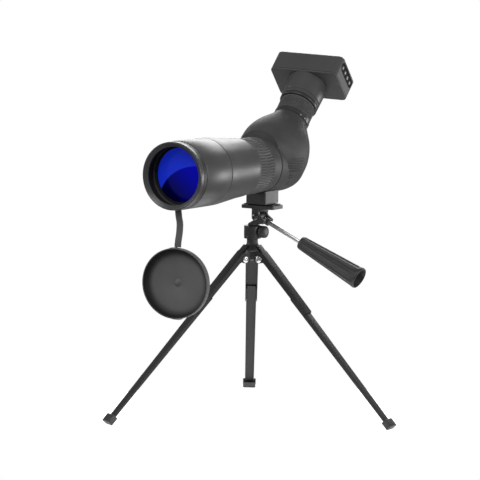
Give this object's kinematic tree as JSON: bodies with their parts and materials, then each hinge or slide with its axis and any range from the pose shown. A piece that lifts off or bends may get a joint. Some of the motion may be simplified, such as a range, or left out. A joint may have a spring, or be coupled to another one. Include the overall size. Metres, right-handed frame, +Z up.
{
  "type": "spotting scope",
  "caption": "Angled spotting scope on a folding tabletop tripod with a tilting pan head, side handle, sliding sunshade, hanging lens cap and a box camera clipped over the eyepiece.",
  "frame": {"origin": "on the ground, under the middle of the whole object's box", "axes": "+Z up; -Y towards what the scope looks at; +X to the side the pan handle is on"},
  "size_m": [0.2876, 0.3678, 0.4129],
  "materials": {
    "satin_barrel": "satin anodised",
    "soft_armour": "fine-grained soft-touch",
    "rubber": "matt",
    "black_plastic": "satin",
    "leg_paint": "semi-gloss",
    "bright_steel": "plated",
    "black_anodised": "satin",
    "camera_plastic": "matt",
    "coated_glass": "blue anti-reflection coating",
    "clear_glass": "polished",
    "circuit_green": "solder mask",
    "cell_silver": "matt",
    "button_white": "satin"
  },
  "bodies": {
    "tripod_base": {"tripod_crown": "black_plastic", "pan_collar": "black_anodised", "pan_bolt": "bright_steel", "leg_pin_right": "bright_steel", "leg_pin_back": "bright_steel", "leg_pin_left": "bright_steel"},
    "leg_right": {"leg_upper_right": "leg_paint"},
    "foot_right": {"leg_lower_right": "leg_paint", "boot_right": "rubber"},
    "leg_back": {"leg_upper_back": "leg_paint"},
    "foot_back": {"leg_lower_back": "leg_paint", "boot_back": "rubber"},
    "leg_left": {"leg_upper_left": "leg_paint"},
    "foot_left": {"leg_lower_left": "leg_paint", "boot_left": "rubber"},
    "pan_knob": {"pan_lock_knob": "black_plastic"},
    "pan_head": {"pan_head": "black_plastic"},
    "scope": {"tilt_platform": "black_plastic", "platform_pad": "rubber", "tilt_bolt": "bright_steel", "tilt_nut": "bright_steel", "mount_foot": "black_anodised", "main_barrel": "satin_barrel", "objective_front_lens": "coated_glass", "objective_rear_lens": "clear_glass", "objective_retaining_ring": "black_anodised", "prism_housing": "soft_armour", "roof_prism": "clear_glass", "prism_bracket": "black_anodised", "eyepiece_tube": "black_anodised", "eyepiece_top_ring": "black_anodised", "eye_lens": "clear_glass"},
    "handle": {"handle_rod": "bright_steel", "handle_grip": "rubber"},
    "camera_screw": {"camera_screw": "bright_steel"},
    "sunshade": {"sunshade": "satin_barrel", "sunshade_lip": "satin_barrel"},
    "strap_ring": {"strap_ring": "rubber"},
    "strap": {"cap_strap": "rubber"},
    "cap": {"lens_cap": "rubber"},
    "focus_ring": {"focus_ring": "rubber"},
    "focus_cell": {"focus_carriage": "black_anodised", "focus_lens": "clear_glass"},
    "zoom_ring": {"zoom_ring": "rubber"},
    "zoom_cell": {"zoom_cell": "black_anodised", "zoom_lens": "clear_glass"},
    "adapter": {"camera_adapter": "satin_barrel"},
    "camera": {"camera_front_shell": "camera_plastic", "camera_back_shell": "camera_plastic", "button_panel": "black_plastic", "camera_lens": "black_anodised", "image_sensor": "cell_silver", "circuit_board": "circuit_green", "battery": "cell_silver"},
    "button_1": {"camera_button_1": "button_white"},
    "button_2": {"camera_button_2": "button_white"},
    "button_3": {"camera_button_3": "button_white"},
    "button_4": {"camera_button_4": "button_white"}
  },
  "joints": [
    {"name": "leg_fold_right", "type": "hinge", "parent": "tripod_base", "child": "leg_right", "pos_m": [-0.031, 0.01786, 0.1807], "axis": [0, 1, 0], "range_deg": [0, 43.5]},
    {"name": "leg_extend_right", "type": "slide", "parent": "leg_right", "child": "foot_right", "axis": [-0.6884, 0, 0.7254], "range_m": [0, 0.045]},
    {"name": "leg_fold_back", "type": "hinge", "parent": "tripod_base", "child": "leg_back", "pos_m": [-0.04975, 0.02868, 0.1807], "axis": [-0.866, -0.5, 0], "range_deg": [0, 43.5]},
    {"name": "leg_extend_back", "type": "slide", "parent": "leg_back", "child": "foot_back", "axis": [0.3442, -0.5961, 0.7254], "range_m": [0, 0.045]},
    {"name": "leg_fold_left", "type": "hinge", "parent": "tripod_base", "child": "leg_left", "pos_m": [-0.04975, 0.00703, 0.1807], "axis": [0.866, -0.5, 0], "range_deg": [0, 43.5]},
    {"name": "leg_extend_left", "type": "slide", "parent": "leg_left", "child": "foot_left", "axis": [0.3442, 0.5961, 0.7254], "range_m": [0, 0.045]},
    {"name": "pan_knob_turn", "type": "hinge", "parent": "tripod_base", "child": "pan_knob", "pos_m": [-0.0435, 0.01786, 0.2118], "axis": [1, 0, 0], "range_deg": [0, 180]},
    {"name": "pan", "type": "hinge", "parent": "tripod_base", "child": "pan_head", "pos_m": [-0.0435, 0.01786, 0.211], "axis": [0, 0, 1], "continuous": true},
    {"name": "tilt", "type": "hinge", "parent": "pan_head", "child": "scope", "pos_m": [-0.0345, 0.01786, 0.2295], "axis": [0, 1, 0], "range_deg": [-45, 4]},
    {"name": "handle_twist", "type": "hinge", "parent": "scope", "child": "handle", "pos_m": [-0.0348, 0.01786, 0.22887], "axis": [0.9063, 0, -0.4226], "range_deg": [0, 120]},
    {"name": "camera_screw_turn", "type": "hinge", "parent": "scope", "child": "camera_screw", "pos_m": [-0.03145, 0.01786, 0.237], "axis": [0, 0, 1], "range_deg": [0, 180]},
    {"name": "sunshade_slide", "type": "slide", "parent": "scope", "child": "sunshade", "axis": [0, -1, 0], "range_m": [0, 0.035]},
    {"name": "strap_ring_turn", "type": "hinge", "parent": "sunshade", "child": "strap_ring", "pos_m": [-0.03145, -0.17174, 0.2897], "axis": [0, -1, 0], "range_deg": [-90, 90]},
    {"name": "strap_swing", "type": "hinge", "parent": "strap_ring", "child": "strap", "pos_m": [-0.02845, -0.17174, 0.2517], "axis": [1, 0, 0], "range_deg": [-70, 30]},
    {"name": "cap_swing", "type": "hinge", "parent": "strap", "child": "cap", "pos_m": [-0.02845, -0.17174, 0.2124], "axis": [0.9925, 0.1219, 0], "range_deg": [-90, 45]},
    {"name": "focus_turn", "type": "hinge", "parent": "scope", "child": "focus_ring", "pos_m": [-0.03145, -0.01914, 0.2897], "axis": [0, -1, 0], "range_deg": [-150, 150]},
    {"name": "focus_travel", "type": "slide", "parent": "scope", "child": "focus_cell", "axis": [0, -1, 0], "range_m": [-0.005, 0.005]},
    {"name": "zoom_turn", "type": "hinge", "parent": "scope", "child": "zoom_ring", "pos_m": [-0.03145, 0.09072, 0.34556], "axis": [0, 0.7071, 0.7071], "range_deg": [0, 120]},
    {"name": "zoom_travel", "type": "slide", "parent": "scope", "child": "zoom_cell", "axis": [0, 0.7071, 0.7071], "range_m": [0, 0.0061]},
    {"name": "adapter_slide", "type": "slide", "parent": "scope", "child": "adapter", "axis": [0, 0.7071, 0.7071], "range_m": [0, 0.0105]},
    {"name": "camera_turn", "type": "hinge", "parent": "adapter", "child": "camera", "pos_m": [-0.03145, 0.12095, 0.37579], "axis": [0, 0.7071, 0.7071], "range_deg": [-90, 90]},
    {"name": "button_press_1", "type": "slide", "parent": "camera", "child": "button_1", "axis": [-0.9986, -0.037, 0.037], "range_m": [0, 0.0008], "stiffness_N_per_m": 400},
    {"name": "button_press_2", "type": "slide", "parent": "camera", "child": "button_2", "axis": [-0.9986, -0.037, 0.037], "range_m": [0, 0.0008], "stiffness_N_per_m": 400},
    {"name": "button_press_3", "type": "slide", "parent": "camera", "child": "button_3", "axis": [-0.9986, -0.037, 0.037], "range_m": [0, 0.0008], "stiffness_N_per_m": 400},
    {"name": "button_press_4", "type": "slide", "parent": "camera", "child": "button_4", "axis": [-0.9986, -0.037, 0.037], "range_m": [0, 0.0008], "stiffness_N_per_m": 400}
  ],
  "couplings": [
    {"joint": "focus_turn", "follows": "focus_travel", "rad_per_m": 523},
    {"joint": "zoom_turn", "follows": "zoom_travel", "rad_per_m": 343}
  ]
}
